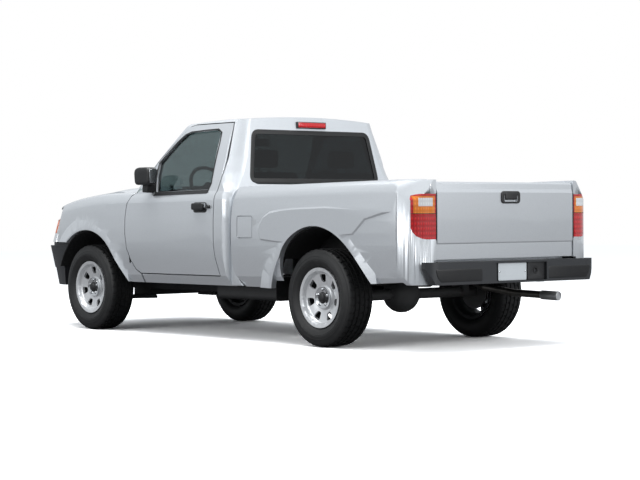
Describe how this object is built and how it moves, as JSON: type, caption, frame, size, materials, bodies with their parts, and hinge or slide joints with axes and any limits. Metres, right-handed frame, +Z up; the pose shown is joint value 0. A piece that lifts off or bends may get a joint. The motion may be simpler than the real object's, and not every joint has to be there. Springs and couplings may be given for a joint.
{
  "type": "pickup truck",
  "caption": "Compact pickup truck with a two-door cab, an open load bed with a drop tailgate, opening doors, hood and fuel door, and steered front wheels.",
  "frame": {"origin": "on the ground, under the middle of the truck's length and width", "axes": "+X towards the front of the truck, +Y to its left, +Z up"},
  "size_m": [4.763, 1.92, 1.6497],
  "materials": {
    "silver_paint": "metallic clear coat",
    "bed_paint": "metallic paint, worn",
    "bumper_plastic": "grained",
    "black_plastic": "satin",
    "clear_lamp": "clear moulded",
    "amber_lamp": "amber moulded",
    "red_lamp": "red moulded",
    "window_glass": "tinted",
    "black_chassis_paint": "satin",
    "cast_iron": "as cast",
    "exhaust_steel": "drawn tube",
    "liner_plastic": "moulded",
    "seat_fabric": "woven",
    "dash_plastic": "grained",
    "wheel_paint": "silver enamel",
    "tyre_rubber": "moulded"
  },
  "bodies": {
    "chassis": {"cab_shell": "silver_paint", "front_fender_left": "silver_paint", "front_fender_right": "silver_paint", "radiator_support": "black_chassis_paint", "grille": "black_plastic", "headlamp_left": "clear_lamp", "headlamp_right": "clear_lamp", "turn_lamp_left": "amber_lamp", "turn_lamp_right": "amber_lamp", "front_bumper": "bumper_plastic", "windshield": "window_glass", "rear_window": "window_glass", "bed_box": "bed_paint", "bed_side_left": "silver_paint", "bed_side_right": "silver_paint", "tail_lamp_left": "red_lamp", "tail_lamp_right": "red_lamp", "rear_bumper": "bumper_plastic", "frame_rails": "black_chassis_paint", "engine_block": "cast_iron", "drive_shaft": "black_chassis_paint", "rear_axle_housing": "black_chassis_paint", "leaf_springs": "black_chassis_paint", "exhaust_pipe": "exhaust_steel", "fuel_tank": "black_chassis_paint", "wheel_liners": "liner_plastic", "front_suspension": "black_chassis_paint", "seat_cushions": "seat_fabric", "seat_backs": "seat_fabric", "seat_base": "black_chassis_paint", "dashboard": "dash_plastic"},
    "hood": {"hood": "silver_paint"},
    "door_left": {"door_left": "silver_paint", "door_glass_left": "window_glass", "mirror_left": "black_plastic"},
    "door_right": {"door_right": "silver_paint", "door_glass_right": "window_glass", "mirror_right": "black_plastic"},
    "tailgate": {"tailgate": "silver_paint"},
    "fuel_door": {"fuel_door": "silver_paint"},
    "steering_wheel": {"steering_wheel": "dash_plastic"},
    "knuckle_left": {"steering_knuckle_left": "black_chassis_paint"},
    "knuckle_right": {"steering_knuckle_right": "black_chassis_paint"},
    "wheel_front_left": {"rim_front_left": "wheel_paint", "tyre_front_left": "tyre_rubber"},
    "wheel_front_right": {"rim_front_right": "wheel_paint", "tyre_front_right": "tyre_rubber"},
    "wheel_rear_left": {"rim_rear_left": "wheel_paint", "tyre_rear_left": "tyre_rubber"},
    "wheel_rear_right": {"rim_rear_right": "wheel_paint", "tyre_rear_right": "tyre_rubber"}
  },
  "joints": [
    {"name": "steer_left", "type": "hinge", "parent": "chassis", "child": "knuckle_left", "pos_m": [1.5215, 0.64, 0.34], "axis": [0, 0, 1], "range_deg": [-30, 30]},
    {"name": "steer_right", "type": "hinge", "parent": "chassis", "child": "knuckle_right", "pos_m": [1.5215, -0.64, 0.34], "axis": [0, 0, 1], "range_deg": [-30, 30]},
    {"name": "steering_wheel_turn", "type": "hinge", "parent": "chassis", "child": "steering_wheel", "pos_m": [0.5215, 0.38, 1.12], "axis": [-0.866, 0, 0.5], "range_deg": [-480, 480]},
    {"name": "door_left_swing", "type": "hinge", "parent": "chassis", "child": "door_left", "pos_m": [0.9135, 0.857, 0.79], "axis": [0, 0, -1], "range_deg": [0, 65]},
    {"name": "door_right_swing", "type": "hinge", "parent": "chassis", "child": "door_right", "pos_m": [0.9135, -0.857, 0.79], "axis": [0, 0, 1], "range_deg": [0, 65]},
    {"name": "hood_lift", "type": "hinge", "parent": "chassis", "child": "hood", "pos_m": [0.9465, 0, 1.06], "axis": [0, -1, 0], "range_deg": [0, 50]},
    {"name": "tailgate_drop", "type": "hinge", "parent": "chassis", "child": "tailgate", "pos_m": [-2.2705, 0, 0.65], "axis": [0, -1, 0], "range_deg": [0, 90]},
    {"name": "fuel_door_swing", "type": "hinge", "parent": "chassis", "child": "fuel_door", "pos_m": [-0.4655, 0.868, 0.825], "axis": [0, 0, -1], "range_deg": [0, 95]},
    {"name": "wheel_front_left_spin", "type": "hinge", "parent": "knuckle_left", "child": "wheel_front_left", "pos_m": [1.5215, 0.745, 0.34], "axis": [0, 1, 0], "continuous": true},
    {"name": "wheel_front_right_spin", "type": "hinge", "parent": "knuckle_right", "child": "wheel_front_right", "pos_m": [1.5215, -0.745, 0.34], "axis": [0, 1, 0], "continuous": true},
    {"name": "wheel_rear_left_spin", "type": "hinge", "parent": "chassis", "child": "wheel_rear_left", "pos_m": [-1.3135, 0.7285, 0.34], "axis": [0, 1, 0], "continuous": true},
    {"name": "wheel_rear_right_spin", "type": "hinge", "parent": "chassis", "child": "wheel_rear_right", "pos_m": [-1.3135, -0.7285, 0.34], "axis": [0, 1, 0], "continuous": true}
  ],
  "couplings": [
    {"joint": "steer_right", "follows": "steer_left", "ratio": 1},
    {"joint": "steering_wheel_turn", "follows": "steer_left", "ratio": 16}
  ]
}
